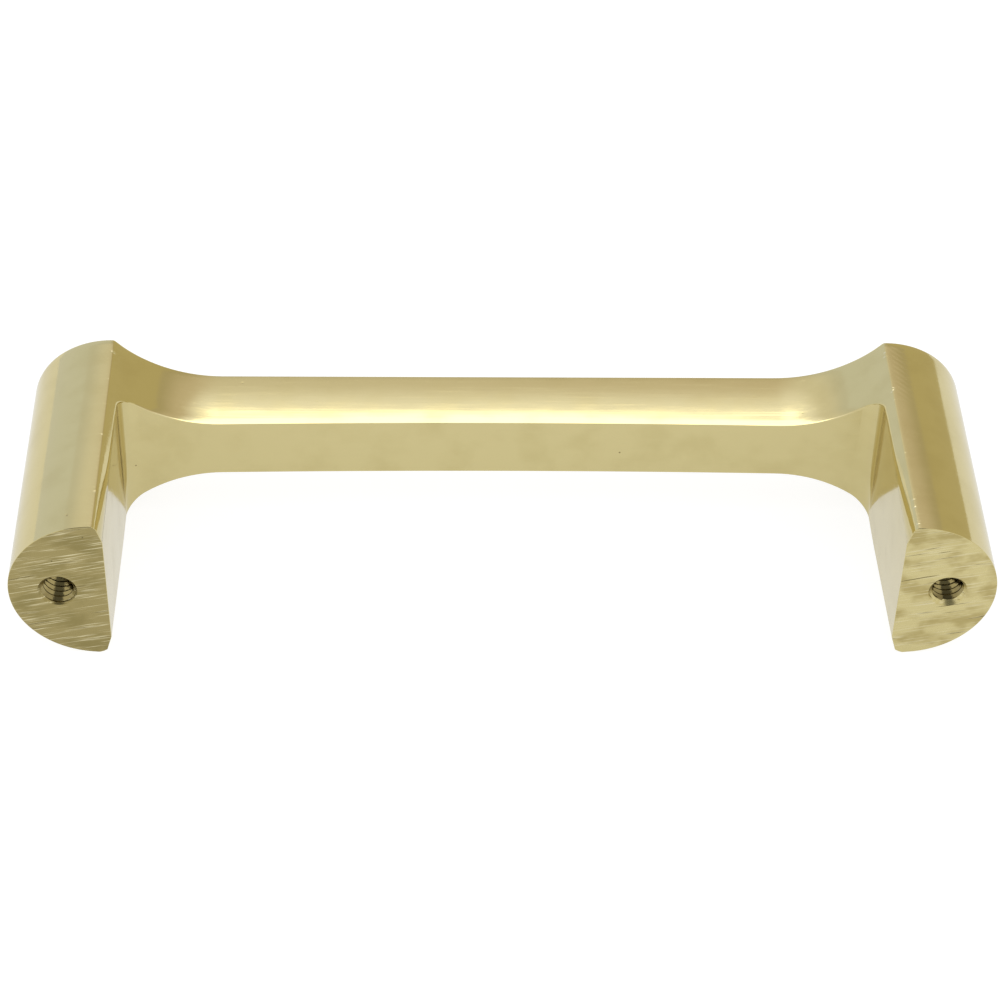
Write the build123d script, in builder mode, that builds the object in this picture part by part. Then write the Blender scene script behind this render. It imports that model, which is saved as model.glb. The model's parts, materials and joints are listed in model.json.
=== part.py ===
from build123d import *
from math import atan2, degrees, radians, sqrt, tan
import os

os.makedirs("parts", exist_ok=True)

# A solid brass bridge pull, cut from one bar.
# +X runs along the pull, +Y points out from the drawer front, +Z is up.
# The origin is on the mounting plane, midway between the two screw holes.

# Driving dimensions, in millimetres.
hole_spacing = 101.6        # screw hole to screw hole, 4 in
end_reach = 5.6             # screw hole to the end of the pull
projection = 33.0           # mounting plane to the front of the bar
end_radius = 9.9            # round end of each foot
ridge_setback = 0.3         # the round end runs this far past its half circle, to a ridge
bar_width = 8.3             # height of the bar, along Z
flare_radius = 17.0         # hollow between the bar and each ridge
bar_thickness = 8.3         # at mid-span, along Y
arch_rise = 0.65            # the back of the bar rises this much to mid-span
post_depth = 11.2           # end of the pull to the post's inner face
inner_corner_radius = 2.3   # between a post and the back of the bar
front_edge_radius = 0.4     # all round the front face

# Filed facets on the inner edges of the posts, widest at the feet.
facet_width = 0.6           # along X
facet_height = 1.4          # along Z
facet_run = 20.0            # along Y, to where it dies out

# Tapped holes for 8-32 screws: tap drill bore, drill point, countersunk mouth.
tap_drill_diameter = 3.45
bore_depth = 16.0
drill_point_angle = 118
mouth_diameter = 4.5
mouth_angle = 90

overcut = 1.0               # how far a cutter reaches outside the metal

# Places that follow from the dimensions.
end_x = hole_spacing / 2 + end_reach
end_centre_x = end_x - end_radius
inner_x = end_x - post_depth
bar_half = bar_width / 2
ridge_x = end_centre_x - ridge_setback
ridge_z = sqrt(end_radius**2 - ridge_setback**2)
ridge_angle = degrees(atan2(ridge_z, -ridge_setback))
flare_centre_z = bar_half + flare_radius
flare_start_x = ridge_x - sqrt(flare_radius**2 - (flare_centre_z - ridge_z) ** 2)
post_length = projection - bar_thickness - arch_rise
bore_radius = tap_drill_diameter / 2
drill_point = bore_radius / tan(radians(drill_point_angle / 2))


def flare_height(x):
    """Half height of the pull at x, on the hollow between the bar and a ridge."""
    return flare_centre_z - sqrt(flare_radius**2 - (x - flare_start_x) ** 2)


def facet_cutter(side, level):
    """Place and size of the tapered cutter for one inner edge of one post."""
    corner = Vector(side * inner_x, 0, level * flare_height(inner_x))
    outer = Vector(side * (inner_x + facet_width), 0, level * flare_height(inner_x + facet_width))
    lower = corner - Vector(0, 0, level * facet_height)
    along = (outer - lower).normalized()
    outward = along.cross(Vector(0, side * level, 0))
    bite = (corner - lower).dot(outward)
    middle = (outer + lower) / 2
    place = Plane(origin=middle, x_dir=outward, z_dir=outward.cross(Vector(0, 1, 0)))
    return place, bite, (outer - lower).length


with BuildPart() as handle:
    # Front outline: bar, four hollow flares, two round ends.
    with BuildSketch(Plane.XZ):
        with BuildLine():
            bar_side = Line((0, bar_half), (flare_start_x, bar_half))
            RadiusArc(bar_side @ 1, (ridge_x, ridge_z), -flare_radius)
            CenterArc((end_centre_x, 0), end_radius, start_angle=0, arc_size=ridge_angle)
            mirror(about=Plane.XZ)
            mirror(about=Plane.YZ)
        make_face()
    extrude(amount=-projection)

    # Finger gap, which leaves the two posts and the gently arched back of the bar.
    with BuildSketch(Plane.XY) as finger_gap:
        with BuildLine():
            bar_back = ThreePointArc(
                (-inner_x, post_length), (0, post_length + arch_rise), (inner_x, post_length)
            )
            Polyline(bar_back @ 1, (inner_x, -overcut), (-inner_x, -overcut), bar_back @ 0)
        make_face()
        fillet(finger_gap.vertices().group_by(Axis.Y)[-1], inner_corner_radius)
    extrude(amount=end_radius + overcut, both=True, mode=Mode.SUBTRACT)

    # Rounded edge all round the front face.
    fillet(handle.faces().sort_by(Axis.Y)[-1].edges(), front_edge_radius)

    # Filed facets, one on each of the four inner edges of the posts.
    for side in (-1, 1):
        for level in (-1, 1):
            place, bite, height = facet_cutter(side, level)
            reach = facet_run + overcut
            far_bite = bite * reach / facet_run
            with Locations(place):
                Wedge(
                    xsize=far_bite + overcut,
                    ysize=reach,
                    zsize=height + 2 * overcut,
                    xmin=far_bite,
                    zmin=0,
                    xmax=far_bite + overcut,
                    zmax=height + 2 * overcut,
                    align=(Align.MIN, Align.MIN, Align.CENTER),
                    mode=Mode.SUBTRACT,
                )

    # Two tapped blind holes, one in the middle of each foot.
    with Locations(Plane.XZ):
        with GridLocations(hole_spacing, 0, 2, 1):
            CounterSinkHole(
                radius=bore_radius,
                counter_sink_radius=mouth_diameter / 2,
                depth=bore_depth,
                counter_sink_angle=mouth_angle,
            )
    with Locations(Plane(origin=(0, bore_depth, 0), x_dir=(1, 0, 0), z_dir=(0, 1, 0))):
        with GridLocations(hole_spacing, 0, 2, 1):
            Cone(
                bottom_radius=bore_radius,
                top_radius=0,
                height=drill_point,
                align=(Align.CENTER, Align.CENTER, Align.MIN),
                mode=Mode.SUBTRACT,
            )

handle.part.label = "handle"
export_step(handle.part, "parts/handle.step")
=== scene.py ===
import json
from math import copysign, pi, radians, sin, sqrt, tan

import bmesh
import bpy
from mathutils import Matrix, Vector


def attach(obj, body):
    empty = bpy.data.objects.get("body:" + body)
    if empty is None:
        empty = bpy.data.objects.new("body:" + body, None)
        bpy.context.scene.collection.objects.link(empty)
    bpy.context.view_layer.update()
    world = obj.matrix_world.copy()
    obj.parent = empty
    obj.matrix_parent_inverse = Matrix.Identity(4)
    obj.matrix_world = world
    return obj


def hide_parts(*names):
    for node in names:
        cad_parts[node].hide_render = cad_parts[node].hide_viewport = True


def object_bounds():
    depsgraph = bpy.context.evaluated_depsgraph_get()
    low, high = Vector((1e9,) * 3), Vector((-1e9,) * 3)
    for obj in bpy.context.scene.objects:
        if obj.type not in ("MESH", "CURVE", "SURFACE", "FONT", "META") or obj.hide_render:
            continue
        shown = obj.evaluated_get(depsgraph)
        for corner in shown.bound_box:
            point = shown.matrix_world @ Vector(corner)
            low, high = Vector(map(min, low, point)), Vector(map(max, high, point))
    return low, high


# A solid brass bridge pull, lying on its side on a table, with its feet towards the camera.
# X runs along the bar, Y from the feet to the front face, and Z up from the table. All in metres.

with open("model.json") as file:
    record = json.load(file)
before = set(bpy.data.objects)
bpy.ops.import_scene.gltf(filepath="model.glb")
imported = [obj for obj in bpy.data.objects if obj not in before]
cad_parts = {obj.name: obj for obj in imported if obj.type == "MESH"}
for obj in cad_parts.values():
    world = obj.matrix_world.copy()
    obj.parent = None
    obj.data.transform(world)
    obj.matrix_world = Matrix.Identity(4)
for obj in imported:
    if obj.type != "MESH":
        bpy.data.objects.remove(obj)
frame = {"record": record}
cad_low, cad_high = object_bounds()

MM = 0.001
TINY = 1e-7
MERGE_DISTANCE = 0.002 * MM

# Sizes that the frame gives.
end_x, front_y, end_radius = cad_high
mounts = {mount["name"]: mount for mount in frame["record"]["mounts"]}
hole_x = mounts["right_screw_hole"]["pos_m"][0]
bore_radius = mounts["right_screw_hole"]["dims"]["r_mm"] * MM

# The other sizes of the pull.
ridge_setback = 0.3 * MM
bar_half = 4.15 * MM
flare_radius = 17.0 * MM
bar_thickness = 8.3 * MM
arch_rise = 0.65 * MM
post_depth = 11.2 * MM
corner_radius = 2.3 * MM
front_edge_radius = 0.4 * MM
edge_break = 0.2 * MM
ridge_break = 0.15 * MM
foot_break = 0.04 * MM
lower_ridge_round = 0.6 * MM
ridge_reach = 0.5 * MM
facet_width = 0.6 * MM
facet_height = 1.4 * MM
facet_run = 20.0 * MM

# The sides of the bar are polished to a slight crown: widest at the front.
front_half = 4.3 * MM
back_half = 3.88 * MM

# The tapped holes. The thread is 8-32, with crests that the tap has left round.
pitch = 0.794 * MM
thread_radius = 2.083 * MM
thread_flank_angle = radians(30)
root_width = pitch / 8
root_ease = 0.03 * MM
crest_round = 0.07 * MM
mouth_radius = 2.25 * MM
tapped_depth = 12.7 * MM
bore_depth = 16.0 * MM
drill_point = 1.04 * MM
left_thread_start = radians(0)
right_thread_start = radians(180)

# Places that follow from the sizes.
end_centre_x = end_x - end_radius
ridge_x = end_centre_x - ridge_setback
ridge_z = sqrt(end_radius**2 - ridge_setback**2)
inner_x = end_x - post_depth
flare_centre_z = bar_half + flare_radius
flare_start = ridge_x - sqrt(flare_radius**2 - (flare_centre_z - ridge_z) ** 2)
post_length = front_y - bar_thickness - arch_rise
arch_radius = (inner_x**2 + arch_rise**2) / (2 * arch_rise)
arch_centre_y = post_length + arch_rise - arch_radius
corner_x = inner_x - corner_radius
corner_y = arch_centre_y + sqrt((arch_radius - corner_radius) ** 2 - corner_x**2)
corner_start = corner_x * arch_radius / (arch_radius - corner_radius)
mouth_depth = mouth_radius - bore_radius

# How finely the pull is divided.
bar_step = 2.0 * MM
flare_step = 0.8 * MM
corner_steps = 12
end_steps = 32
plate_rows = 8
post_rows = 12
thread_steps = 64
bevel_angle = radians(30)
shading_angle = radians(40)

# The material slots of the pull. Its faces start in slot 0, the polished one.
SANDED = 1
TAPPED = 2


def flank_height(x):
    """Half height of the pull at x, out to the ridge: the bar, then the hollow of the flare."""
    run = max(0.0, abs(x) - flare_start)
    return flare_centre_z - sqrt(flare_radius**2 - run**2)


def back_of_bar(x):
    """Where the back of the bar lies at x: a shallow arch, then the rounded inner corner."""
    x = abs(x)
    if x < corner_start:
        return arch_centre_y + sqrt(arch_radius**2 - x**2)
    return corner_y + sqrt(max(0.0, corner_radius**2 - (x - corner_x) ** 2))


def smooth_step(value):
    """A smooth rise from 0 to 1 as value goes from 0 to 1."""
    value = min(max(value, 0.0), 1.0)
    return value * value * (3 - 2 * value)


def crown(x, y):
    """How much wider or narrower the polishing has left the pull at x and y."""
    depth = (front_y - y) / bar_thickness
    half = front_half - (front_half - back_half) * min(depth, 1.0) ** 2
    fade = 1 - smooth_step((abs(x) - flare_start) / (ridge_x - flare_start))
    return 1 + (half / bar_half - 1) * fade


def evenly(start, stop, step):
    """Points from start up to stop, about a step apart, without start itself."""
    count = max(1, round((stop - start) / step))
    return [start + (stop - start) * i / count for i in range(1, count + 1)]


def flank_stations():
    """Where the half outline has its points, from mid-span to the ridge."""
    stations = evenly(0, flare_start, bar_step) + evenly(flare_start, corner_start, flare_step)
    for i in range(1, corner_steps + 1):
        angle = i / corner_steps * pi / 2
        if corner_x + corner_radius * sin(angle) > corner_start + TINY:
            stations.append(corner_x + corner_radius * sin(angle))
    return stations + [ridge_x]


def on_plane(face, y):
    """Whether a face lies flat at y."""
    return all(abs(vert.co.y - y) < TINY for vert in face.verts)


def front_face(bm):
    """Draws a quarter of the front face, inwards from its outline, and mirrors it."""
    point = bm.verts.new((0, front_y, bar_half))
    for x in flank_stations():
        point = bmesh.ops.extrude_vert_indiv(bm, verts=[point])["verts"][0]
        point.co = (x, front_y, flank_height(x))
    sweep = pi / 2 + Vector((0, end_radius)).angle(Vector((-ridge_setback, ridge_z)))
    bmesh.ops.spin(
        bm, geom=[point], cent=(end_centre_x, front_y, 0), axis=(0, 1, 0), angle=sweep, steps=end_steps
    )
    drawn = bmesh.ops.extrude_edge_only(bm, edges=bm.edges[:])["geom"]
    for vert in drawn:
        if isinstance(vert, bmesh.types.BMVert):
            vert.co.z = 0
    bmesh.ops.remove_doubles(bm, verts=bm.verts[:], dist=TINY)
    for axis in "XZ":
        everything = bm.verts[:] + bm.edges[:] + bm.faces[:]
        bmesh.ops.mirror(bm, geom=everything, merge_dist=TINY, axis=axis)


def extrude_back(bm, faces, reach, rows, keep_first):
    """Extrudes faces backwards by reach in a number of rows. Only the first faces may stay."""
    for row in range(rows):
        grown = bmesh.ops.extrude_face_region(bm, geom=faces)["geom"]
        if row > 0 or not keep_first:
            bmesh.ops.delete(bm, geom=faces, context="FACES")
        faces = [item for item in grown if isinstance(item, bmesh.types.BMFace)]
        verts = [item for item in grown if isinstance(item, bmesh.types.BMVert)]
        bmesh.ops.translate(bm, verts=verts, vec=(0, -reach / rows, 0))


def shape_sides(bm):
    """Bends the back of the bar to its arch and corners, and crowns its sides."""
    plate = front_y - post_length
    for vert in bm.verts:
        x, y, z = vert.co
        if abs(x) < inner_x + TINY:
            if y > post_length - TINY:
                vert.co.y = front_y - (front_y - y) * (front_y - back_of_bar(x)) / plate
            else:
                vert.co.y = y * corner_y / post_length
        vert.co.z = z * crown(x, vert.co.y)


def sharp_edges(bm, test):
    """The sharp edges whose two ends both pass the test."""
    return [
        edge for edge in bm.edges
        if len(edge.link_faces) == 2 and edge.calc_face_angle(0) > bevel_angle
        and all(test(*vert.co) for vert in edge.verts)
    ]


def bevel(bm, edges, offset, segments):
    """Rounds edges, and returns the new points."""
    return bmesh.ops.bevel(
        bm, geom=edges, offset=offset, offset_type="OFFSET", segments=segments, profile=0.5,
        affect="EDGES", material=-1, clamp_overlap=False,
    )["verts"]


def at_front(x, y, z):
    return abs(y - front_y) < TINY


def at_foot(x, y, z):
    return abs(y) < TINY


def at_upper_ridge(x, y, z):
    """Near the ridge, also where the front edge has been rounded."""
    return abs(abs(x) - ridge_x) < front_edge_radius and z > ridge_z - ridge_reach


def at_lower_ridge(x, y, z):
    return at_upper_ridge(x, y, -z)


def round_inner_edges(bm):
    """Breaks the edges of the finger gap, and files facets into those of the posts."""
    def at_inner_edge(x, y, z):
        return abs(x) < inner_x + TINY and y < front_y - TINY and abs(z) > TINY

    def across_foot(edge):
        return all(abs(vert.co.y) < TINY for vert in edge.verts)

    edges = [edge for edge in sharp_edges(bm, at_inner_edge) if not across_foot(edge)]
    corner_z = flank_height(inner_x)
    for vert in bevel(bm, edges, edge_break, 2):
        x, y, z = vert.co
        if y > facet_run or abs(x) < inner_x - edge_break:
            continue
        share = 1 - y / facet_run
        outer_x = inner_x + max(facet_width * share, edge_break)
        outer_z = flank_height(outer_x)
        lower_z = corner_z - max(facet_height * share, edge_break)
        place = 0.5
        if abs(x) > inner_x + 0.6 * edge_break:
            place = 1.0
        elif abs(x) < inner_x + TINY:
            place = 0.0
        vert.co.x = copysign(inner_x + (outer_x - inner_x) * place, x)
        vert.co.z = copysign(lower_z + (outer_z - lower_z) * place, z)


def thread_outline(bm):
    """Draws the thread's outline along the hole, from before its mouth to past its end."""
    flank = (thread_radius - bore_radius) * tan(thread_flank_angle)
    crest_middle = (root_width + pitch) / 2
    form = [
        (0, thread_radius - root_ease),
        (root_ease, thread_radius),
        (root_width - root_ease, thread_radius),
        (root_width, thread_radius - root_ease),
        (root_width + flank, bore_radius + crest_round),
        (crest_middle - crest_round, bore_radius),
        (crest_middle + crest_round, bore_radius),
        (pitch - flank, bore_radius + crest_round),
    ]
    wire = None
    for turn in range(-2, round(tapped_depth / pitch) + 1):
        for along, radius in form:
            place = (0, turn * pitch + along, radius)
            if wire is None:
                wire = bm.verts.new(place)
            else:
                wire = bmesh.ops.extrude_vert_indiv(bm, verts=[wire])["verts"][0]
                wire.co = place


def end_thread(bm):
    """Runs the thread out where the tap stopped, and opens its mouth to the countersink."""
    for vert in bm.verts:
        x, y, z = vert.co
        radius = sqrt(x * x + z * z)
        kept = min(max((tapped_depth - y) / (2 * pitch), 0.0), 1.0)
        wanted = bore_radius + (radius - bore_radius) * kept
        wanted = max(wanted, mouth_radius - y)
        vert.co.x *= wanted / radius
        vert.co.z *= wanted / radius
    for place, normal in (0, -1), (tapped_depth, 1):
        bmesh.ops.bisect_plane(
            bm, geom=bm.verts[:] + bm.edges[:] + bm.faces[:], dist=TINY,
            plane_co=(0, place, 0), plane_no=(0, normal, 0), clear_outer=True,
        )


def drill_below(bm):
    """Adds the plain bore below the thread, with the point of the drill."""
    rim = [edge for edge in bm.edges if edge.is_boundary and edge.verts[0].co.y > tapped_depth / 2]
    for depth, spread in (bore_depth, 1.0), (bore_depth + drill_point, 0.0):
        grown = bmesh.ops.extrude_edge_only(bm, edges=rim)["geom"]
        rim = [item for item in grown if isinstance(item, bmesh.types.BMEdge)]
        for vert in (item for item in grown if isinstance(item, bmesh.types.BMVert)):
            vert.co = (vert.co.x * spread, depth, vert.co.z * spread)


def threaded_hole(start_angle):
    """The wall of one tapped hole, on the Y axis with its mouth at y 0."""
    bm = bmesh.new()
    thread_outline(bm)
    bmesh.ops.spin(
        bm, geom=bm.verts[:] + bm.edges[:], cent=(0, 0, 0), axis=(0, 1, 0),
        dvec=(0, pitch / thread_steps, 0), angle=2 * pi, steps=thread_steps,
    )
    bmesh.ops.remove_doubles(bm, verts=bm.verts[:], dist=0.5 * MERGE_DISTANCE)
    bmesh.ops.rotate(bm, verts=bm.verts[:], cent=(0, 0, 0), matrix=Matrix.Rotation(start_angle, 3, "Y"))
    end_thread(bm)
    drill_below(bm)
    bmesh.ops.remove_doubles(bm, verts=bm.verts[:], dist=0.5 * MERGE_DISTANCE)
    for face in bm.faces:
        in_mouth = face.calc_center_median().y < 0.9 * mouth_depth
        face.material_index = SANDED if in_mouth else TAPPED
    return bm


def add_hole(bm, x, start_angle):
    """Opens the foot at x and joins the wall of its tapped hole to it."""
    hole = threaded_hole(start_angle)
    bmesh.ops.translate(hole, verts=hole.verts[:], vec=(x, 0, 0))
    mesh = bpy.data.meshes.new("hole_wall")
    hole.to_mesh(mesh)
    hole.free()
    foot = [face for face in bm.faces if on_plane(face, 0) and face.calc_center_median().x * x > 0]
    bmesh.ops.delete(bm, geom=foot, context="FACES")
    bm.from_mesh(mesh)
    rims = [
        edge for edge in bm.edges
        if edge.is_boundary and edge.verts[0].co.x * x > 0
        and all(abs(vert.co.y) < TINY for vert in edge.verts)
    ]
    for face in bmesh.ops.bridge_loops(bm, edges=rims)["faces"]:
        face.material_index = SANDED
    bpy.data.meshes.remove(mesh)


def rough_handle(bm):
    """The handle with sharp edges: a plate in the outline of the front, and two posts."""
    front_face(bm)
    extrude_back(bm, bm.faces[:], front_y - post_length, plate_rows, keep_first=True)
    under = [
        face for face in bm.faces
        if on_plane(face, post_length) and abs(face.calc_center_median().x) > inner_x
    ]
    extrude_back(bm, under, post_length, post_rows, keep_first=False)
    shape_sides(bm)
    bmesh.ops.recalc_face_normals(bm, faces=bm.faces[:])


def finish_edges(bm):
    """Rounds the edges of the handle, each as much as the polishing has."""
    round_inner_edges(bm)
    bmesh.ops.dissolve_faces(bm, faces=[face for face in bm.faces if on_plane(face, front_y)])
    bevel(bm, sharp_edges(bm, at_front), front_edge_radius, 4)
    bevel(bm, sharp_edges(bm, at_upper_ridge), ridge_break, 2)
    bevel(bm, sharp_edges(bm, at_lower_ridge), lower_ridge_round, 4)
    bevel(bm, sharp_edges(bm, at_foot), foot_break, 1)


def make_handle():
    bm = bmesh.new()
    rough_handle(bm)
    finish_edges(bm)
    add_hole(bm, -hole_x, left_thread_start)
    add_hole(bm, hole_x, right_thread_start)
    for vert in bm.verts:
        vert.co.z = min(max(vert.co.z, -end_radius), end_radius)
    bmesh.ops.remove_doubles(bm, verts=bm.verts[:], dist=MERGE_DISTANCE)
    bmesh.ops.recalc_face_normals(bm, faces=bm.faces[:])
    if bm.calc_volume(signed=True) < 0:
        bmesh.ops.reverse_faces(bm, faces=bm.faces[:])
    mesh = bpy.data.meshes.new("bridge_pull")
    bm.to_mesh(mesh)
    bm.free()
    mesh.shade_smooth()
    mesh.set_sharp_from_angle(angle=shading_angle)
    pull = bpy.data.objects.new("bridge_pull", mesh)
    bpy.context.scene.collection.objects.link(pull)
    weighted = pull.modifiers.new("weighted", "WEIGHTED_NORMAL")
    weighted.keep_sharp = True
    return pull


def add_node(tree, kind, **settings):
    node = tree.nodes.new("ShaderNode" + kind)
    for name, value in settings.items():
        setattr(node, name, value)
    return node


def feed(tree, socket, value):
    """Sets a socket, or links it where the value is itself a socket."""
    if isinstance(value, bpy.types.NodeSocket):
        tree.links.new(value, socket)
    elif socket.type == "RGBA":
        socket.default_value = (*value, 1)
    else:
        socket.default_value = value


def calculate(tree, operation, *values):
    node = add_node(tree, "Math", operation=operation)
    for socket, value in zip(node.inputs, values):
        feed(tree, socket, value)
    return node.outputs[0]


def product(tree, first, *others):
    for other in others:
        first = calculate(tree, "MULTIPLY", first, other)
    return first


def rise(tree, value, start, stop):
    """A smooth rise from 0 to 1 as value goes from start to stop."""
    step = add_node(tree, "MapRange", interpolation_type="SMOOTHSTEP")
    feed(tree, step.inputs["From Min"], start)
    feed(tree, step.inputs["From Max"], stop)
    feed(tree, step.inputs["Value"], value)
    return step.outputs["Result"]


def blend_colours(tree, share, first, second):
    """Mixes two colours. Each is a socket or three numbers."""
    mix = add_node(tree, "Mix", data_type="RGBA")
    feed(tree, mix.inputs["Factor"], share)
    for name, colour in ("A", first), ("B", second):
        socket = next(item for item in mix.inputs if item.name == name and item.type == "RGBA")
        feed(tree, socket, colour)
    return next(item for item in mix.outputs if item.type == "RGBA")


def split(tree, vector):
    parts = add_node(tree, "SeparateXYZ")
    feed(tree, parts.inputs[0], vector)
    return parts.outputs


def place_in_mm(tree):
    """The place on the object in millimetres."""
    place = add_node(tree, "VectorMath", operation="SCALE")
    feed(tree, place.inputs[0], add_node(tree, "TexCoord").outputs["Object"])
    feed(tree, place.inputs["Scale"], 1 / MM)
    return place.outputs[0]


def turned(tree, place, angle):
    """The place turned about the Y axis, for a pattern that lies aslant on a foot."""
    node = add_node(tree, "VectorRotate", rotation_type="Y_AXIS")
    feed(tree, node.inputs["Vector"], place)
    feed(tree, node.inputs["Angle"], angle)
    return node.outputs[0]


def noise(tree, place, scale, detail, stretch=(1, 1, 1)):
    """Noise with scale features a millimetre, longer along the axes with a smaller stretch."""
    mapping = add_node(tree, "Mapping")
    feed(tree, mapping.inputs["Vector"], place)
    feed(tree, mapping.inputs["Scale"], stretch)
    texture = add_node(tree, "TexNoise")
    feed(tree, texture.inputs["Vector"], mapping.outputs[0])
    feed(tree, texture.inputs["Scale"], scale)
    feed(tree, texture.inputs["Detail"], detail)
    return texture.outputs["Fac"]


def new_group(name, outputs):
    """A node group, with its tree and the inputs of its output node."""
    tree = bpy.data.node_groups.new(name, "ShaderNodeTree")
    for output in outputs:
        tree.interface.new_socket(output, in_out="OUTPUT", socket_type="NodeSocketFloat")
    return tree, tree.nodes.new("NodeGroupOutput").inputs


def pits_group():
    """Small round pits of different sizes, in about one cell of four."""
    cells_a_mm = 0.55
    pitted_share = (0.72, 1.0)
    largest_reach = 0.10
    softness = 0.05
    tree, out = new_group("pits", ["Pits"])
    cells = add_node(tree, "TexVoronoi")
    feed(tree, cells.inputs["Vector"], place_in_mm(tree))
    feed(tree, cells.inputs["Scale"], cells_a_mm)
    chance = add_node(tree, "SeparateColor")
    feed(tree, chance.inputs[0], cells.outputs["Color"])
    reach = product(tree, rise(tree, chance.outputs[0], *pitted_share), largest_reach)
    inside = calculate(tree, "SUBTRACT", reach, cells.outputs["Distance"])
    feed(tree, out["Pits"], rise(tree, inside, 0.0, softness))
    return tree


def polish_group():
    """What a buffing wheel leaves: faint waves, fine lines along the bar, and clouds."""
    tree, out = new_group("polish_marks", ["Waves", "Lines", "Clouds"])
    place = place_in_mm(tree)
    feed(tree, out["Waves"], noise(tree, place, 0.45, 1.0, (0.5, 0.35, 1.0)))
    feed(tree, out["Lines"], noise(tree, place, 2.2, 3.0, (0.04, 1.6, 1.6)))
    feed(tree, out["Clouds"], noise(tree, place, 0.22, 5.0))
    return tree


def edge_wear_group():
    """Chips along the ridges of the posts, and cutter chatter beside the right one. In millimetres."""
    chip_reach = (0.45, 0.05)
    chip_height = (8.8, 9.4)
    chatter_left = (46.6, 47.1)
    chatter_right = (49.2, 47.8)
    chatter_length = (20.0, 25.0)
    strokes_rate = 6.5
    tree, out = new_group("edge_wear", ["Chips", "Chatter"])
    place = place_in_mm(tree)
    x, y, z = split(tree, place)

    from_ridge = calculate(tree, "SUBTRACT", calculate(tree, "ABSOLUTE", x), ridge_x / MM)
    near = rise(tree, calculate(tree, "ABSOLUTE", from_ridge), *chip_reach)
    rough = rise(tree, noise(tree, place, 1.3, 3.0, (0.5, 0.7, 0.5)), 0.62, 0.70)
    feed(tree, out["Chips"], product(tree, near, rise(tree, z, *chip_height), rough))

    beside = product(tree, rise(tree, x, *chatter_left), rise(tree, x, *chatter_right))
    strokes = calculate(tree, "SINE", product(tree, calculate(tree, "ADD", y, x), strokes_rate))
    broken = product(tree, strokes, noise(tree, place, 0.9, 2.0))
    feed(tree, out["Chatter"], product(tree, beside, rise(tree, y, *chatter_length), broken))
    return tree


def belt_group():
    """What a sanding belt leaves on a foot: long scratches, deep ones among them, and patches."""
    belt_slope = radians(12)
    coarse_share = 0.8
    tree, out = new_group("belt_marks", ["Scratches", "Deep", "Patches"])
    place = turned(tree, place_in_mm(tree), belt_slope)
    fine = noise(tree, place, 4.0, 4.0, (0.05, 1.0, 1.5))
    coarse = noise(tree, place, 1.7, 2.0, (0.08, 1.0, 2.0))
    patches = noise(tree, place, 0.35, 3.0, (0.6, 1.0, 1.0))
    feed(tree, out["Scratches"], calculate(tree, "ADD", fine, product(tree, coarse, coarse_share)))
    feed(tree, out["Deep"], rise(tree, coarse, 0.62, 0.72))
    feed(tree, out["Patches"], rise(tree, patches, 0.42, 0.62))
    return tree


def use_group(tree, group):
    return add_node(tree, "Group", node_tree=group).outputs


def new_metal(name):
    """A bare metal material, with its tree and shader."""
    material = bpy.data.materials.new(name)
    material.use_nodes = True
    tree = material.node_tree
    shader = tree.nodes["Principled BSDF"]
    shader.inputs["Metallic"].default_value = 1
    return material, tree, shader


def raised(tree, height, depth, below=None):
    """A bump as high as depth for a height of 1, on top of the bump below."""
    node = add_node(tree, "Bump")
    feed(tree, node.inputs["Distance"], depth)
    feed(tree, node.inputs["Height"], height)
    if below is not None:
        feed(tree, node.inputs["Normal"], below)
    return node.outputs["Normal"]


def sunk(tree, height, depth, below):
    return raised(tree, product(tree, height, -1), depth, below)


def polished_brass(polish, wear, pits):
    """The bar, the posts and the flares, buffed by hand and a little clouded."""
    clean = (0.68, 0.59, 0.295)
    tarnished = (0.64, 0.55, 0.265)
    freshly_chipped = (0.76, 0.69, 0.42)
    pit_dark = (0.28, 0.22, 0.09)
    clean_roughness = 0.08
    tarnish_roughness = 0.05
    line_roughness = 0.08
    chip_roughness = 0.15

    material, tree, shader = new_metal("polished_brass")
    marks = use_group(tree, polish)
    edges = use_group(tree, wear)
    pitted = use_group(tree, pits)["Pits"]

    tarnish = rise(tree, marks["Clouds"], 0.40, 0.75)
    colour = blend_colours(tree, tarnish, clean, tarnished)
    colour = blend_colours(tree, edges["Chips"], colour, freshly_chipped)
    colour = blend_colours(tree, pitted, colour, pit_dark)
    feed(tree, shader.inputs["Base Color"], colour)

    lines = rise(tree, marks["Lines"], 0.5, 0.75)
    roughness = calculate(tree, "MULTIPLY_ADD", tarnish, tarnish_roughness, clean_roughness)
    roughness = calculate(tree, "MULTIPLY_ADD", lines, line_roughness, roughness)
    roughness = calculate(tree, "MULTIPLY_ADD", edges["Chips"], chip_roughness, roughness)
    feed(tree, shader.inputs["Roughness"], roughness)

    normal = raised(tree, marks["Waves"], 0.012 * MM)
    normal = raised(tree, marks["Lines"], 0.0016 * MM, normal)
    normal = raised(tree, edges["Chatter"], 0.003 * MM, normal)
    normal = sunk(tree, edges["Chips"], 0.015 * MM, normal)
    normal = sunk(tree, pitted, 0.02 * MM, normal)
    feed(tree, shader.inputs["Normal"], normal)
    return material


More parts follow.
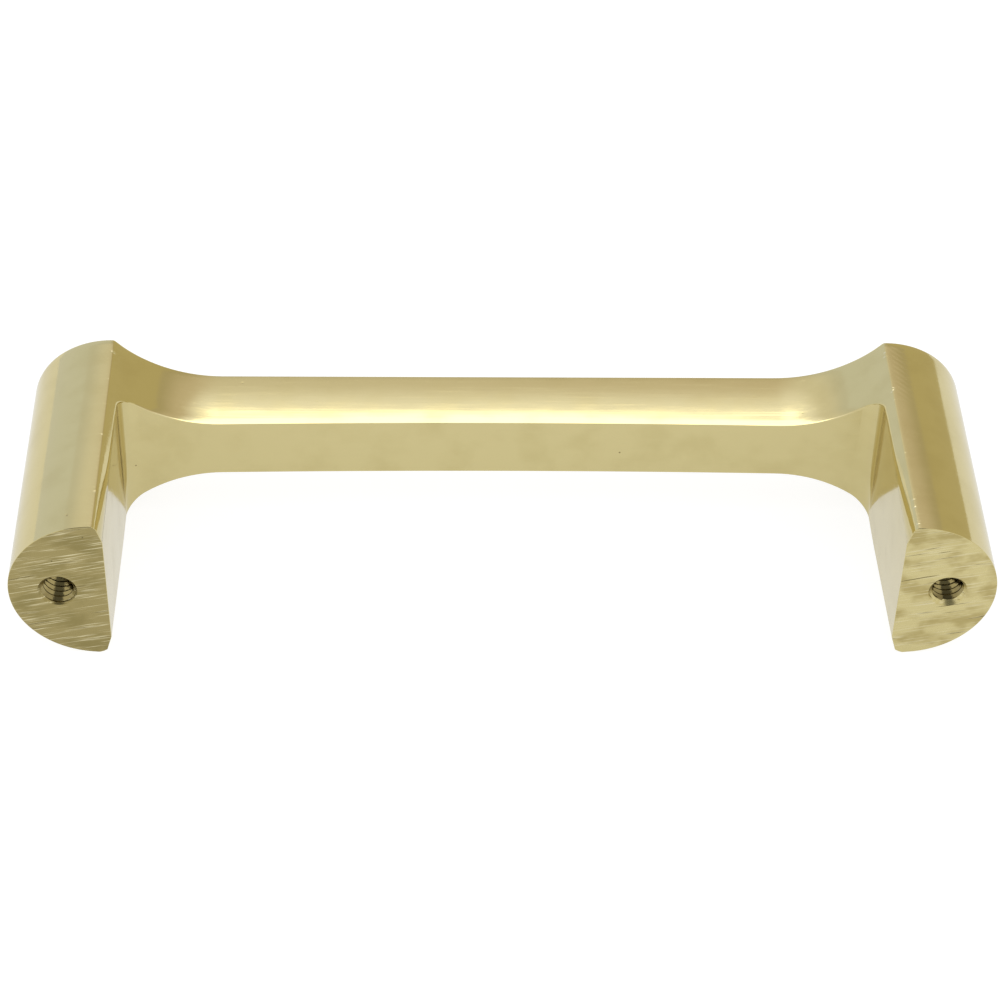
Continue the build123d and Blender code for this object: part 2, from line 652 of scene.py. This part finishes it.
def sanded_brass(belt, pits):
    """The feet. The left one is painted darker than the right, as painted shade."""
    # The left foot's colours are darkened as painted shade; the right foot's are the same brass, lit.
    sanded_in_painted_shade = (0.40, 0.33, 0.14)
    sanded_lit = (0.70, 0.61, 0.30)
    patch_in_painted_shade = (0.34, 0.28, 0.11)
    patch_lit = (0.52, 0.43, 0.18)
    bright_scratch = (0.80, 0.72, 0.44)
    deep_scratch = (0.24, 0.19, 0.07)
    pit_dark = (0.15, 0.12, 0.05)
    sanded_roughness = 0.27
    patch_roughness = 0.12

    material, tree, shader = new_metal("sanded_brass")
    marks = use_group(tree, belt)
    pitted = use_group(tree, pits)["Pits"]

    # Painted shade: blends along X from the darker left foot to the lit right one.
    lit_side_share = rise(tree, split(tree, place_in_mm(tree))["X"], -1.0, 1.0)
    colour = blend_colours(tree, lit_side_share, sanded_in_painted_shade, sanded_lit)
    patch = blend_colours(tree, lit_side_share, patch_in_painted_shade, patch_lit)
    colour = blend_colours(tree, marks["Patches"], colour, patch)
    colour = blend_colours(tree, rise(tree, marks["Scratches"], 0.92, 1.15), colour, bright_scratch)
    colour = blend_colours(tree, marks["Deep"], colour, deep_scratch)
    colour = blend_colours(tree, pitted, colour, pit_dark)
    feed(tree, shader.inputs["Base Color"], colour)

    roughness = calculate(tree, "MULTIPLY_ADD", marks["Patches"], patch_roughness, sanded_roughness)
    feed(tree, shader.inputs["Roughness"], roughness)

    normal = raised(tree, marks["Scratches"], 0.012 * MM)
    normal = sunk(tree, marks["Deep"], 0.015 * MM, normal)
    normal = sunk(tree, pitted, 0.03 * MM, normal)
    feed(tree, shader.inputs["Normal"], normal)
    return material


def tapped_brass(polish):
    """The wall of a hole, painted dark as the shade inside it, with tearing along the thread."""
    # Both colours are darkened as painted shade in the hole; the darker one lies in random blotches.
    cut_in_painted_shade = (0.42, 0.35, 0.16)
    deeper_painted_shade = (0.20, 0.16, 0.07)
    cut_roughness = 0.04
    tearing_roughness = 0.12

    material, tree, shader = new_metal("tapped_brass")
    tearing = noise(tree, place_in_mm(tree), 3.5, 3.0, (1.0, 2.5, 1.0))
    # Random blotches where the painted shade is deeper.
    shade_blotches = rise(tree, use_group(tree, polish)["Clouds"], 0.35, 0.7)
    feed(tree, shader.inputs["Base Color"], blend_colours(tree, shade_blotches, cut_in_painted_shade, deeper_painted_shade))
    roughness = calculate(tree, "MULTIPLY_ADD", tearing, tearing_roughness, cut_roughness)
    feed(tree, shader.inputs["Roughness"], roughness)
    feed(tree, shader.inputs["Normal"], raised(tree, tearing, 0.012 * MM))
    return material


def dress(pull):
    """Gives the pull its materials, in the order of their slots."""
    polish = polish_group()
    pits = pits_group()
    pull.data.materials.append(polished_brass(polish, edge_wear_group(), pits))
    pull.data.materials.append(sanded_brass(belt_group(), pits))
    pull.data.materials.append(tapped_brass(polish))


def studio_room(tree):
    """What the metal mirrors, by direction: cool paper on the left, warm wood on the right, and above
    them brighter walls and a broad lamp. The side of the camera is dark in its middle."""
    left_paper = (0.76, 0.80, 0.90)
    right_wood = (0.60, 0.54, 0.35)
    left_wall = (0.72, 0.74, 0.80)
    right_wall = (0.54, 0.49, 0.37)
    left_high_wall = (0.86, 0.85, 0.87)
    right_high_wall = (0.72, 0.65, 0.59)
    below_lamp = (1.15, 1.16, 1.32)
    lamp_light = (2.6, 2.6, 2.6)
    dark_middle = (0.17, 0.17, 0.16)
    bright_sides = (0.85, 0.83, 0.76)
    middle_offset = 0.12

    across, away, up = split(tree, add_node(tree, "TexCoord").outputs["Generated"])
    right_side = rise(tree, across, -0.25, 0.25)
    low_room = blend_colours(tree, right_side, left_paper, right_wood)
    wall = blend_colours(tree, right_side, left_wall, right_wall)
    high_wall = blend_colours(tree, right_side, left_high_wall, right_high_wall)
    room = blend_colours(tree, rise(tree, up, 0.49, 0.51), low_room, wall)
    room = blend_colours(tree, rise(tree, up, 0.52, 0.66), room, high_wall)
    room = blend_colours(tree, rise(tree, up, 0.67, 0.755), room, below_lamp)

    from_middle = calculate(tree, "ABSOLUTE", calculate(tree, "ADD", across, middle_offset))
    camera_side = blend_colours(tree, rise(tree, from_middle, 0.32, 0.45), dark_middle, bright_sides)
    room = blend_colours(tree, rise(tree, away, 0.1, -0.2), room, camera_side)

    lamp_edge = rise(tree, up, 0.760, 0.766)
    lamp_sides = rise(tree, calculate(tree, "ABSOLUTE", across), 0.55, 0.35)
    lamp_front = rise(tree, away, 0.0, 0.15)
    lamp = product(tree, lamp_edge, lamp_sides, lamp_front)
    return blend_colours(tree, lamp, room, lamp_light)


def studio_world():
    """A studio: plain white for the camera and for diffuse light, and the room for metal."""
    world = bpy.data.worlds.new("studio")
    bpy.context.scene.world = world
    world.use_nodes = True
    tree = world.node_tree
    tree.nodes.clear()
    room = studio_room(tree)
    mirrored = add_node(tree, "LightPath").outputs["Is Glossy Ray"]
    background = add_node(tree, "Background")
    feed(tree, background.inputs["Color"], blend_colours(tree, mirrored, (1, 1, 1), room))
    output = add_node(tree, "OutputWorld")
    feed(tree, output.inputs["Surface"], background.outputs[0])


def table_white():
    """White to the camera, a little less to the metal, and dark enough to keep the pull's shadow."""
    camera_glow = 0.86
    mirrored_glow = 0.66
    matt_grey = (0.25, 0.25, 0.25)

    material = bpy.data.materials.new("white_table")
    material.use_nodes = True
    tree = material.node_tree
    tree.nodes.clear()
    path = add_node(tree, "LightPath")
    seen = product(tree, path.outputs["Is Camera Ray"], camera_glow)
    mirrored = product(tree, path.outputs["Is Glossy Ray"], mirrored_glow)
    matt = add_node(tree, "BsdfDiffuse")
    feed(tree, matt.inputs["Color"], matt_grey)
    glow = add_node(tree, "Emission")
    feed(tree, glow.inputs["Strength"], calculate(tree, "MAXIMUM", seen, mirrored))
    both = add_node(tree, "AddShader")
    feed(tree, both.inputs[0], matt.outputs[0])
    feed(tree, both.inputs[1], glow.outputs[0])
    output = add_node(tree, "OutputMaterial")
    feed(tree, output.inputs["Surface"], both.outputs[0])
    return material


def make_table():
    """The square table that the pull lies on."""
    half_width = 2.0
    bm = bmesh.new()
    bmesh.ops.create_grid(bm, x_segments=1, y_segments=1, size=half_width)
    bmesh.ops.translate(bm, verts=bm.verts[:], vec=(0, 0, cad_low.z))
    mesh = bpy.data.meshes.new("table")
    bm.to_mesh(mesh)
    bm.free()
    mesh.materials.append(table_white())
    table = bpy.data.objects.new("table", mesh)
    bpy.context.scene.collection.objects.link(table)
    return table


def place_camera():
    """The camera in front of the feet and above them, turned and rolled a little."""
    place = Vector((-10.869, -232.514, 227.656)) * MM
    elevation = radians(42.538)
    turn = radians(-2.46)
    roll = radians(1.78)

    data = bpy.data.cameras.new("camera")
    data.lens = 102.74
    data.sensor_width = 36
    camera = bpy.data.objects.new("camera", data)
    bpy.context.scene.collection.objects.link(camera)
    camera.matrix_world = (
        Matrix.Translation(place)
        @ Matrix.Rotation(turn, 4, "Z")
        @ Matrix.Rotation(pi / 2 - elevation, 4, "X")
        @ Matrix.Rotation(roll, 4, "Z")
    )
    bpy.context.scene.camera = camera


pull = make_handle()
dress(pull)
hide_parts("handle")
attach(pull, "root")

studio_world()
make_table()
place_camera()
bpy.context.scene.view_settings.view_transform = "Standard"
